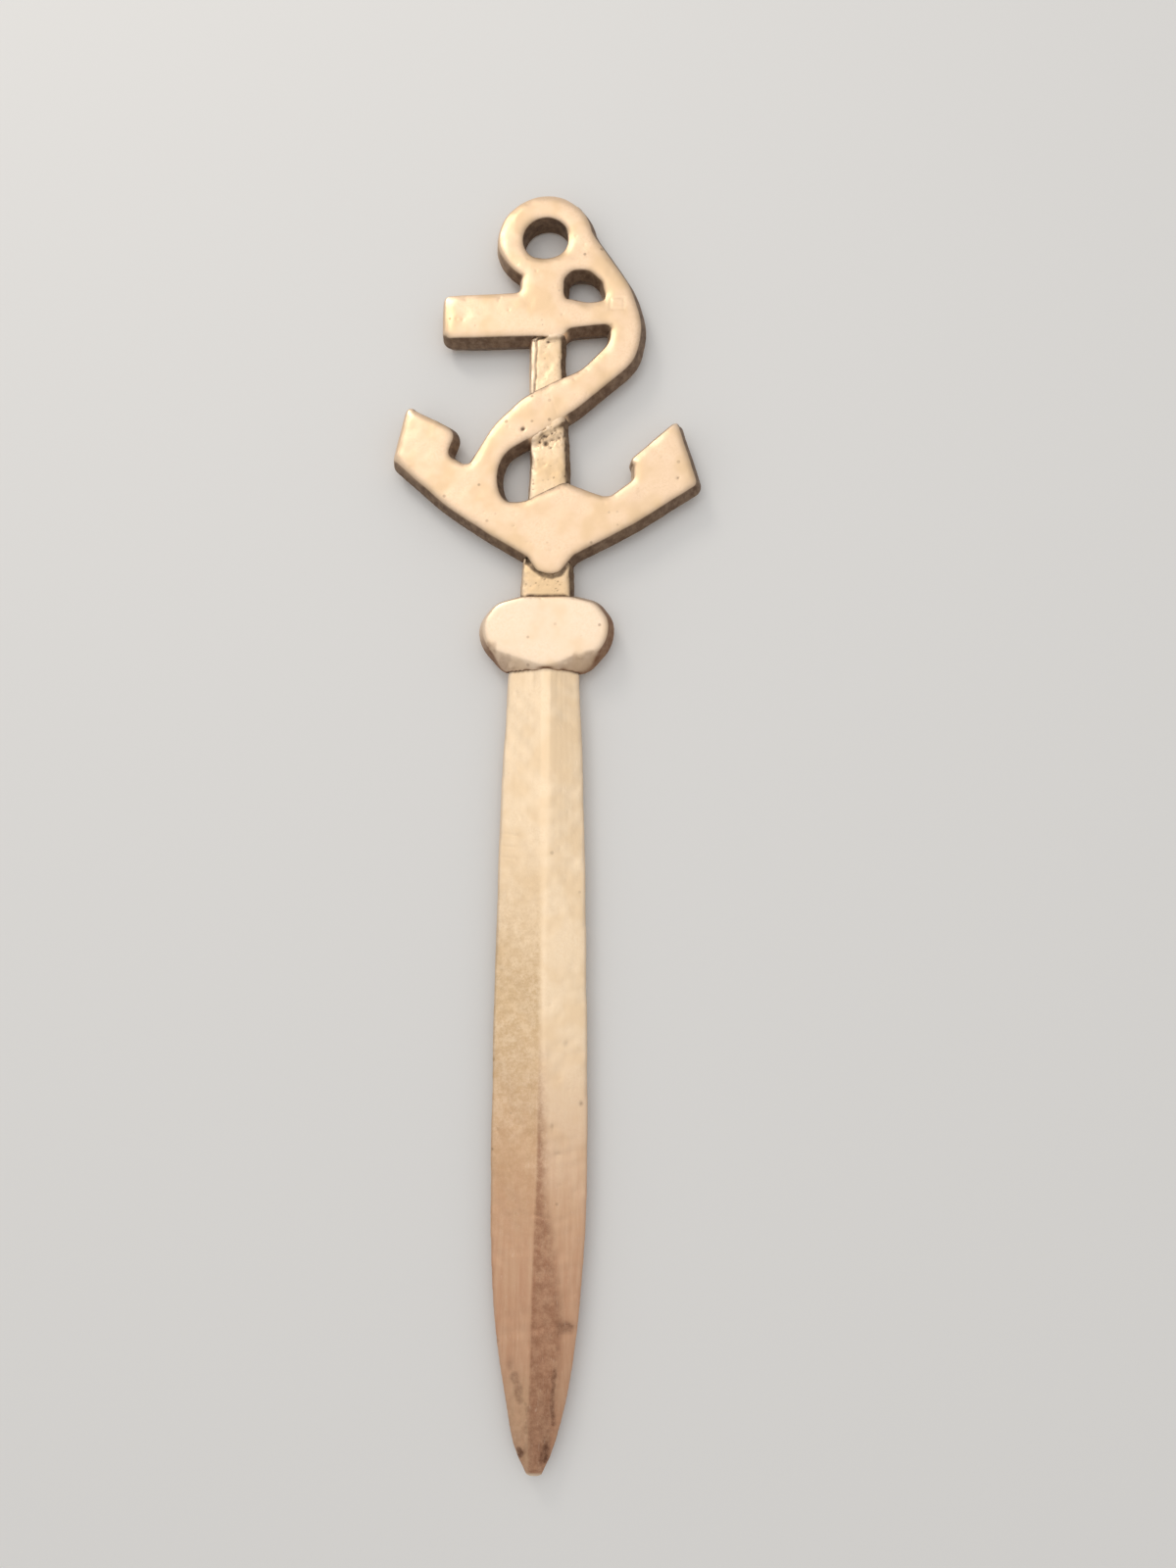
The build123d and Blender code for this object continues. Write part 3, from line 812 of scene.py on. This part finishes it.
# Blade
bladeBar = {
    "voxel": 0.22, "rounds": 3, "edgeRounds": 2, "tipRound": 0.1, "tipReach": 2.5,
    "unevenness": [(11.0, 0.03, 31), (2.2, 0.01, 32)], "cover": 0.02, "hollowGrime": (0.03, 0.12),
    "pinHoles": {"box": ((-7, -124), (7, -7)), "count": 120, "radii": (0.12, 0.28),
                 "depths": (0.015, 0.04), "seed": 33},
    # Dents: x, y, radius, depth
    "marks": [(4.5, -104.6, 0.6, 0.07), (3.2, -108.0, 0.3, 0.05), (3.0, -80.5, 0.3, 0.05),
              (2.0, -76.7, 0.25, 0.04)],
    # Fine file lines across it: depth, width, line
    "hairs": [(0.03, 0.25, line) for line in (
        [(-6.9, -32.2), (-4.1, -32.5)], [(-6.9, -34.1), (-4.5, -34.4)],
        [(-6.7, -35.9), (-4.3, -36.2)], [(-6.7, -53.5), (-5.2, -53.6)],
        [(-0.6, -89.3), (1.9, -89.8)])],
    # Tarnish, and painted shade in the brown towards the point, by distance down the blade and across
    # it: where each starts or ends, and is full
    "tones": {"stain": (106, 127), "bloomAndShade": (56, 104), "dull": (58, 84), "dullFade": (114, 123),
              "dullLeft": (-0.25, 0.15), "dullRight": (-0.7, 1.3), "patina": (26, 60),
              "patinaFade": (84, 104), "patinaRight": (-0.6, 0.6), "leftTip": (107, 115),
              "leftTipRight": (-1.4, 0.2), "rim": (124.65, 125.0)},
    "strengths": {"stain": 0.35, "bloomAndShade": 0.95, "dull": 0.85, "patina": 0.8, "leftTip": 0.4,
                  "rim": 0.8, "tipBloomAndShadeLoss": 0.2, "tipDullLoss": 0.3},
    # Dull third facet beside the ridge: y, its left side, its right side
    "facet": [(-60, 0.0, 0.5), (-86, -0.2, 0.9), (-95, -0.5, 2.4), (-104, -0.7, 3.6),
              (-121, -0.8, 2.0)],
    # Stains: x, y, reach across, reach along, strength
    "stains": [(4.6, -104.6, 0.9, 0.4, 0.75), (3.6, -104.4, 0.7, 0.3, 0.4),
               (-3.7, -110.2, 0.6, 0.9, 0.4), (5.0, -104.9, 0.7, 0.3, 0.9),
               (3.2, -108.0, 0.3, 0.4, 0.4), (3.9, -64.4, 0.4, 0.5, 0.25),
               (6.3, -73.2, 0.3, 0.4, 0.5), (3.05, -80.5, 0.5, 0.2, 0.3),
               (2.0, -76.7, 0.2, 0.5, 0.3)],
    # Stain lines: strength, width, line, and how their edges wander
    "smears": [(0.5, 1.0, [(-3.1, -111.9), (-2.6, -113.0), (-2.2, -115.0)]),
               (0.5, 0.5, [(-2.5, -113.4), (-2.2, -115.2)]),
               (0.75, 0.5, [(2.9, -110.8), (2.6, -113.6), (2.5, -115.2), (2.8, -118.2)]),
               (0.95, 1.1, [(1.7, -121.4), (1.35, -122.8)]),
               (0.5, 1.4, [(1.9, -120.4), (1.6, -121.4)]),
               (0.45, 1.2, [(3.7, -104.9), (4.9, -105.1)]),
               (0.9, 0.8, [(-2.3, -121.8), (-2.0, -122.3)]),
               (0.5, 0.6, [(-1.0, -120.8), (-1.5, -122.0)]),
               (0.4, 0.5, [(-1.0, -116.0), (-1.3, -119.5)])],
    "wander": {"reach": 0.06, "length": 1.6, "seed": 35},
}


def makeBlade(bar):
    whole = nodeCopy("blade")
    skin = skinOf(whole, bar["voxel"])
    whole.free()
    points = pointsOf(skin)
    # The corners of its very end are drawn back into a shallow curve
    tip = points[:, 1].min()
    nearTip = 1 - step(points[:, 1], tip, tip + bar["tipReach"])
    points[:, 1] += bar["tipRound"] * points[:, 0] ** 2 * nearTip
    setPoints(skin, points)
    soften(skin, bar["rounds"], bar["edgeRounds"])
    points, normals = pointsOf(skin), normalsOf(skin)
    front = onFront(normals)
    hollows = pits(points, bar["marks"] + scatter(**bar["pinHoles"]))
    height = (unevenness(points, bar["unevenness"], bar["cover"])
              - front * (hollows + nearLines(points, bar["hairs"])))
    setPoints(skin, points + normals * height[:, None])
    return skin, front * step(hollows, *bar["hollowGrime"])


def bladeMasks(points, bar):
    # Patina on the left facet, brown towards the point that is partly bloom and partly painted shade
    # where the light falls off, the dull facet, the stains and the very end, which is rubbed bright
    x, down = points[:, 0], -points[:, 1]
    tones, full = bar["tones"], bar["strengths"]
    stations, lefts, rights = np.array(bar["facet"]).T
    left, right = np.interp(down, -stations, lefts), np.interp(down, -stations, rights)
    leftTip = step(down, *tones["leftTip"]) * (1 - step(x, *tones["leftTipRight"]))
    patina = (step(down, *tones["patina"]) * (1 - step(down, *tones["patinaFade"]))
              * (1 - step(x, *tones["patinaRight"])))
    dull = (step(down, *tones["dull"]) * step(x - left, *tones["dullLeft"])
            * (1 - step(x - right, *tones["dullRight"])))
    stain = full["stain"] * step(down, *tones["stain"])
    for middleX, middleY, across, along, strength in bar["stains"]:
        far = ((x - middleX) / across) ** 2 + ((down + middleY) / along) ** 2
        stain = np.maximum(stain, strength * np.exp(-far))
    stain = np.maximum(stain, nearLines(wandering(points, bar["wander"]), bar["smears"]))
    return {
        "patina": np.maximum(full["leftTip"] * leftTip, full["patina"] * patina),
        "bloomAndShade": full["bloomAndShade"] * step(down, *tones["bloomAndShade"]) * (1 - full["tipBloomAndShadeLoss"] * leftTip),
        "dull": full["dull"] * dull * (1 - full["tipDullLoss"] * step(down, *tones["dullFade"])),
        "stain": stain,
        "rim": full["rim"] * step(down, *tones["rim"]),
    }


# Where the shank, the collar and the blade meet
junctions = {
    "cornerReach": 0.5,
    # The blade meets the collar cleanly in the middle: half the width, the place below which it
    # does, and how clean
    "cleanWidth": (2, 6), "cleanBelow": -3, "cleaning": 0.7,
    # What the painted highlight on flanks turned towards the light takes from the painted flank shade
    # and the grime, and gives to the wear
    "litFlankShadeLoss": 0.95, "litFlankGrimeLoss": 0.9, "litFlankHighlight": 0.9,
}


def finishPiece(node, skin, material, dirtAndShade, neighbours, litFlank=0.0, tarnished=None):
    points = pointsOf(skin)
    masks = surfaceMasks(skin, ageing)
    # Flanks turned towards the light lose painted shade and grime and get a painted highlight
    masks["side"] *= 1 - junctions["litFlankShadeLoss"] * litFlank
    masks["grimeAndShade"] *= 1 - junctions["litFlankGrimeLoss"] * litFlank
    masks["wearAndHighlight"] = np.maximum(masks["wearAndHighlight"], junctions["litFlankHighlight"] * litFlank)
    addGrimeAndShade(masks, dirtAndShade)
    # Grime and painted shade where this piece meets its neighbours
    for tree in neighbours:
        addGrimeAndShade(masks, cornerGrimeAndShade(points, tree, junctions["cornerReach"]))
    middle = 1 - step(np.abs(points[:, 0]), *junctions["cleanWidth"])
    masks["grimeAndShade"] *= 1 - junctions["cleaning"] * middle * (points[:, 1] < junctions["cleanBelow"])
    masks.update(tarnished or {})
    writeMasks(skin, masks)
    skin.shade_smooth()
    dressed(node + "Brass", skin, node, material)


shankSkin, shankDirtAndShade, shankLitFlank = makeShank(shankBar)
bladeSkin, bladeDirt = makeBlade(bladeBar)
collarSkin, collarDirtAndShade = makeCollar(collarKnob)
collarTree = treeOf(collarSkin)
shankTree, bladeTree = (BVHTree.FromBMesh(nodeCopy(node)) for node in ("shank", "blade"))
makeHead(headCast, shankTree)
finishPiece("shank", shankSkin, recessedBrass, shankDirtAndShade, [collarTree],
            litFlank=shankLitFlank)
finishPiece("collar", collarSkin, collarBrass, collarDirtAndShade, [shankTree, bladeTree])
finishPiece("blade", bladeSkin, bladeBrass, bladeDirt, [collarTree],
            tarnished=bladeMasks(pointsOf(bladeSkin), bladeBar))
print("pieces ready")


# Studio
studio = {
    # The floor lies just clear of the flat back
    "floor": (0.8, 0.79, 0.775, 1), "floorSize": 6000, "floorLevel": -0.02,
    "floorRoughness": 0.9, "floorGloss": 0.1,
    # A long soft box overhead, reaching far past the ring and a little past the point
    "boxPlace": (-60, 150, 420), "boxWidth": 470, "boxLength": 620, "boxPower": 0.46,
    "boxTone": (1, 1, 1),
    # A smaller lamp at the upper left, for the edges and the shadow
    "keyPlace": (-190, 330, 250), "keySize": 110, "keyPower": 0.27, "keyTone": (1, 0.94, 0.86),
    "world": 0.64, "worldTone": (1, 0.99, 0.975, 1),
}


def makeStage(values):
    mesh = bpy.data.meshes.new("floor")
    half, level = values["floorSize"] / 2 * mm, values["floorLevel"] * mm
    corners = [(-half, -half), (half, -half), (half, half), (-half, half)]
    mesh.from_pydata([(x, y, level) for x, y in corners], [], [(0, 1, 2, 3)])
    material = bpy.data.materials.new("floor")
    material.use_nodes = True
    shader = material.node_tree.nodes["Principled BSDF"]
    shader.inputs["Base Color"].default_value = values["floor"]
    shader.inputs["Roughness"].default_value = values["floorRoughness"]
    shader.inputs["Specular IOR Level"].default_value = values["floorGloss"]
    mesh.materials.append(material)
    floor = bpy.data.objects.new("floor", mesh)
    scene.collection.objects.link(floor)


def addLamp(name, place, width, length, power, tone, aim):
    lamp = bpy.data.lights.new(name, "AREA")
    lamp.shape = "RECTANGLE"
    lamp.size, lamp.size_y = width * mm, length * mm
    lamp.energy = power
    lamp.color = tone
    holder = bpy.data.objects.new(name, lamp)
    holder.location = Vector(place) * mm
    holder.rotation_euler = (Vector(aim) - Vector(place)).to_track_quat("-Z", "Y").to_euler()
    scene.collection.objects.link(holder)


def makeWorld(values):
    world = bpy.data.worlds.new("studio")
    world.use_nodes = True
    background = world.node_tree.nodes["Background"]
    background.inputs["Color"].default_value = values["worldTone"]
    background.inputs["Strength"].default_value = values["world"]
    scene.world = world


# Nearly overhead, tilted towards the ring
view = {
    "place": (15.893, -57.064, 186.184),
    "right": (0.99885, 0.00828, -0.04727), "up": (0.00018, 0.98438, 0.17610),
    "lens": 27.05, "sensor": 36, "nearest": 10,
}


def makeCamera(values):
    lens = bpy.data.cameras.new("camera")
    lens.sensor_width, lens.lens = values["sensor"], values["lens"]
    lens.clip_start = values["nearest"] * mm
    camera = bpy.data.objects.new("camera", lens)
    right, up = Vector(values["right"]), Vector(values["up"])
    turned = Matrix((right, up, right.cross(up))).transposed().to_4x4()
    camera.matrix_world = Matrix.Translation(Vector(values["place"]) * mm) @ turned
    scene.collection.objects.link(camera)
    scene.camera = camera


makeStage(studio)
# The soft box looks straight down and the key lamp at the collar
boxX, boxY = studio["boxPlace"][:2]
addLamp("softBox", studio["boxPlace"], studio["boxWidth"], studio["boxLength"],
        studio["boxPower"], studio["boxTone"], (boxX, boxY, 0))
addLamp("key", studio["keyPlace"], studio["keySize"], studio["keySize"], studio["keyPower"],
        studio["keyTone"], (0, 0, 0))
makeWorld(studio)
makeCamera(view)
scene.view_settings.view_transform = "Standard"
print("studio ready")
